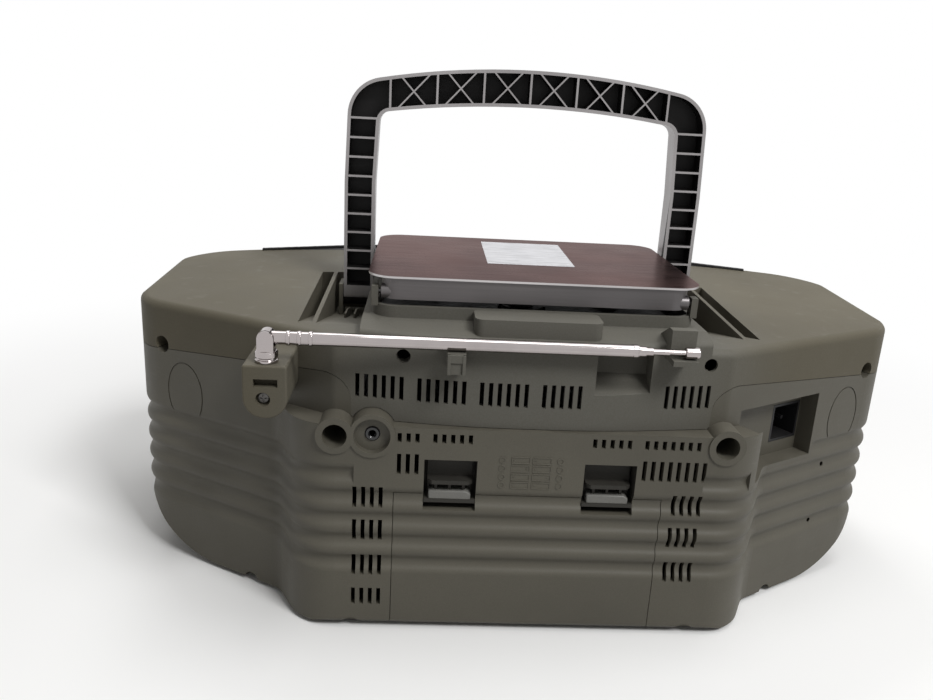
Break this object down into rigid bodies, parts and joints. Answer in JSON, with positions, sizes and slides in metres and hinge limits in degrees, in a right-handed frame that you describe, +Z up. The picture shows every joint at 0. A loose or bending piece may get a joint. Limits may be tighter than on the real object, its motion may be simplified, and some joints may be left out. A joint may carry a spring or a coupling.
{
  "type": "compact disc cassette boombox",
  "caption": "Portable disc and cassette radio with folding handle, lift-up disc lid, telescopic antenna and battery door at the rear.",
  "frame": {"origin": "centre of the footprint of the whole object, on the plane its feet rest on", "axes": "+X along the length of the cabinet, to the left as seen from behind; +Y out of the rear; +Z up; the speaker side faces -Y"},
  "size_m": [0.502, 0.269, 0.3271],
  "materials": {
    "cabinet": "fine-textured olive grey moulding",
    "front_plastic": "near-black moulding",
    "black_plastic": "black moulding",
    "grille_metal": "dark painted perforated sheet",
    "zinc_steel": "zinc plated pressed steel",
    "cone_paper": "dark paper cone",
    "ferrite": "dark ferrite ring",
    "spring_steel": "bright steel",
    "clear_window": "smoked clear plastic",
    "control_plastic": "silver-grey moulding",
    "handle_plastic": "silver painted moulding",
    "lid_plastic": "silver-grey moulding",
    "lid_metal": "mauve brown brushed sheet",
    "label_foil": "bare pale foil",
    "roller_rubber": "black rubber",
    "antenna_chrome": "bright chrome",
    "board": "green circuit board",
    "core_steel": "laminated steel core",
    "foot_rubber": "black rubber",
    "screw_steel": "dark screws"
  },
  "bodies": {
    "cabinet": {"rear_cabinet": "cabinet", "top_cabinet": "cabinet", "antenna_holder": "cabinet", "front_cabinet": "front_plastic", "ac_inlet": "black_plastic", "speaker_grille_left": "grille_metal", "speaker_grille_right": "grille_metal", "speaker_frame_left": "zinc_steel", "speaker_frame_right": "zinc_steel", "speaker_cone_left": "cone_paper", "speaker_cone_right": "cone_paper", "speaker_magnet_left": "ferrite", "speaker_magnet_right": "ferrite", "battery_contacts": "spring_steel", "phones_jack": "black_plastic", "display_window": "clear_window", "display_panel": "black_plastic", "handle_pivots": "spring_steel", "lid_hinge_pins": "spring_steel", "disc_tray": "black_plastic", "drive_chassis": "zinc_steel", "guide_rods": "spring_steel", "spindle_motor": "zinc_steel", "tape_chassis": "zinc_steel", "tape_head": "spring_steel", "main_board": "board", "transformer": "core_steel", "rubber_feet": "foot_rubber", "cabinet_screws": "screw_steel"},
    "battery_door": {"battery_door": "cabinet"},
    "battery_latch_left": {"battery_latch_left": "cabinet"},
    "battery_latch_right": {"battery_latch_right": "cabinet"},
    "handle": {"handle": "handle_plastic"},
    "disc_lid": {"disc_lid": "lid_plastic", "lid_plate": "lid_metal", "lid_label": "label_foil"},
    "turntable": {"turntable": "black_plastic"},
    "laser_pickup": {"laser_pickup": "black_plastic"},
    "antenna_swivel": {"antenna_swivel": "antenna_chrome"},
    "antenna_tube_1": {"antenna_tube_1": "antenna_chrome"},
    "antenna_tube_2": {"antenna_tube_2": "antenna_chrome"},
    "antenna_tube_3": {"antenna_tube_3": "antenna_chrome"},
    "antenna_tube_4": {"antenna_tube_4": "antenna_chrome"},
    "cassette_door": {"cassette_door": "front_plastic", "cassette_window": "clear_window"},
    "supply_reel": {"supply_reel": "black_plastic"},
    "takeup_reel": {"takeup_reel": "black_plastic"},
    "capstan": {"capstan": "spring_steel"},
    "pinch_roller": {"pinch_roller": "roller_rubber"},
    "tuning_knob": {"tuning_knob": "control_plastic"},
    "volume_knob": {"volume_knob": "control_plastic"},
    "function_switch": {"function_switch": "control_plastic"},
    "disc_button_1": {"disc_button_1": "control_plastic"},
    "disc_button_2": {"disc_button_2": "control_plastic"},
    "tape_key_1": {"tape_key_1": "control_plastic"},
    "tape_key_2": {"tape_key_2": "control_plastic"},
    "tape_key_3": {"tape_key_3": "control_plastic"},
    "tape_key_4": {"tape_key_4": "control_plastic"},
    "tape_key_5": {"tape_key_5": "control_plastic"},
    "tape_key_6": {"tape_key_6": "control_plastic"}
  },
  "joints": [
    {"name": "handle_fold", "type": "hinge", "parent": "cabinet", "child": "handle", "pos_m": [0, -0.0235, 0.172], "axis": [-1, 0, 0], "range_deg": [0, 74]},
    {"name": "lid_hinge", "type": "hinge", "parent": "cabinet", "child": "disc_lid", "pos_m": [0, 0.085, 0.2], "axis": [-1, 0, 0], "range_deg": [0, 66]},
    {"name": "battery_door_hinge", "type": "hinge", "parent": "cabinet", "child": "battery_door", "pos_m": [0, 0.1193, 0.0048], "axis": [-1, 0, 0], "range_deg": [0, 60]},
    {"name": "battery_latch_left_slide", "type": "slide", "parent": "battery_door", "child": "battery_latch_left", "axis": [0, 0, -1], "range_m": [0, 0.004], "stiffness_N_per_m": 250, "springref_m": -0.004},
    {"name": "battery_latch_right_slide", "type": "slide", "parent": "battery_door", "child": "battery_latch_right", "axis": [0, 0, -1], "range_m": [0, 0.004], "stiffness_N_per_m": 250, "springref_m": -0.004},
    {"name": "antenna_swivel_turn", "type": "hinge", "parent": "cabinet", "child": "antenna_swivel", "pos_m": [0.148, 0.126, 0.168], "axis": [0, 0, -1], "range_deg": [0, 180]},
    {"name": "antenna_elbow", "type": "hinge", "parent": "antenna_swivel", "child": "antenna_tube_1", "pos_m": [0.148, 0.126, 0.1815], "axis": [0, 1, 0], "range_deg": [0, 90]},
    {"name": "antenna_slide_2", "type": "slide", "parent": "antenna_tube_1", "child": "antenna_tube_2", "axis": [-1, 0, 0], "range_m": [0, 0.165]},
    {"name": "antenna_slide_3", "type": "slide", "parent": "antenna_tube_2", "child": "antenna_tube_3", "axis": [-1, 0, 0], "range_m": [0, 0.16]},
    {"name": "antenna_slide_4", "type": "slide", "parent": "antenna_tube_3", "child": "antenna_tube_4", "axis": [-1, 0, 0], "range_m": [0, 0.155]},
    {"name": "cassette_door_hinge", "type": "hinge", "parent": "cabinet", "child": "cassette_door", "pos_m": [0, -0.1102, 0.024], "axis": [1, 0, 0], "range_deg": [0, 30]},
    {"name": "turntable_spin", "type": "hinge", "parent": "cabinet", "child": "turntable", "pos_m": [0, 0.0195, 0.176], "axis": [0, 0, 1], "continuous": true},
    {"name": "pickup_slide", "type": "slide", "parent": "cabinet", "child": "laser_pickup", "axis": [0, -1, 0], "range_m": [0, 0.031]},
    {"name": "supply_reel_spin", "type": "hinge", "parent": "cabinet", "child": "supply_reel", "pos_m": [-0.02125, -0.0815, 0.066], "axis": [0, 1, 0], "continuous": true},
    {"name": "takeup_reel_spin", "type": "hinge", "parent": "cabinet", "child": "takeup_reel", "pos_m": [0.02125, -0.0815, 0.066], "axis": [0, 1, 0], "continuous": true},
    {"name": "capstan_spin", "type": "hinge", "parent": "cabinet", "child": "capstan", "pos_m": [0.016, -0.0815, 0.036], "axis": [0, 1, 0], "continuous": true},
    {"name": "pinch_roller_spin", "type": "hinge", "parent": "cabinet", "child": "pinch_roller", "pos_m": [0.016, -0.0815, 0.0276], "axis": [0, 1, 0], "continuous": true},
    {"name": "tuning_knob_turn", "type": "hinge", "parent": "cabinet", "child": "tuning_knob", "pos_m": [0.08, -0.1225, 0.138], "axis": [0, 1, 0], "range_deg": [-150, 150]},
    {"name": "volume_knob_turn", "type": "hinge", "parent": "cabinet", "child": "volume_knob", "pos_m": [-0.08, -0.1225, 0.138], "axis": [0, 1, 0], "range_deg": [-150, 150]},
    {"name": "function_switch_slide", "type": "slide", "parent": "cabinet", "child": "function_switch", "axis": [1, 0, 0], "range_m": [0, 0.018]},
    {"name": "disc_button_1_press", "type": "slide", "parent": "cabinet", "child": "disc_button_1", "axis": [0, 1, 0], "range_m": [0, 0.0022], "stiffness_N_per_m": 250, "springref_m": -0.002},
    {"name": "disc_button_2_press", "type": "slide", "parent": "cabinet", "child": "disc_button_2", "axis": [0, 1, 0], "range_m": [0, 0.0022], "stiffness_N_per_m": 250, "springref_m": -0.002},
    {"name": "tape_key_1_press", "type": "slide", "parent": "cabinet", "child": "tape_key_1", "axis": [0, 0, -1], "range_m": [0, 0.004], "stiffness_N_per_m": 250, "springref_m": -0.004},
    {"name": "tape_key_2_press", "type": "slide", "parent": "cabinet", "child": "tape_key_2", "axis": [0, 0, -1], "range_m": [0, 0.004], "stiffness_N_per_m": 250, "springref_m": -0.004},
    {"name": "tape_key_3_press", "type": "slide", "parent": "cabinet", "child": "tape_key_3", "axis": [0, 0, -1], "range_m": [0, 0.004], "stiffness_N_per_m": 250, "springref_m": -0.004},
    {"name": "tape_key_4_press", "type": "slide", "parent": "cabinet", "child": "tape_key_4", "axis": [0, 0, -1], "range_m": [0, 0.004], "stiffness_N_per_m": 250, "springref_m": -0.004},
    {"name": "tape_key_5_press", "type": "slide", "parent": "cabinet", "child": "tape_key_5", "axis": [0, 0, -1], "range_m": [0, 0.004], "stiffness_N_per_m": 250, "springref_m": -0.004},
    {"name": "tape_key_6_press", "type": "slide", "parent": "cabinet", "child": "tape_key_6", "axis": [0, 0, -1], "range_m": [0, 0.004], "stiffness_N_per_m": 250, "springref_m": -0.004}
  ]
}
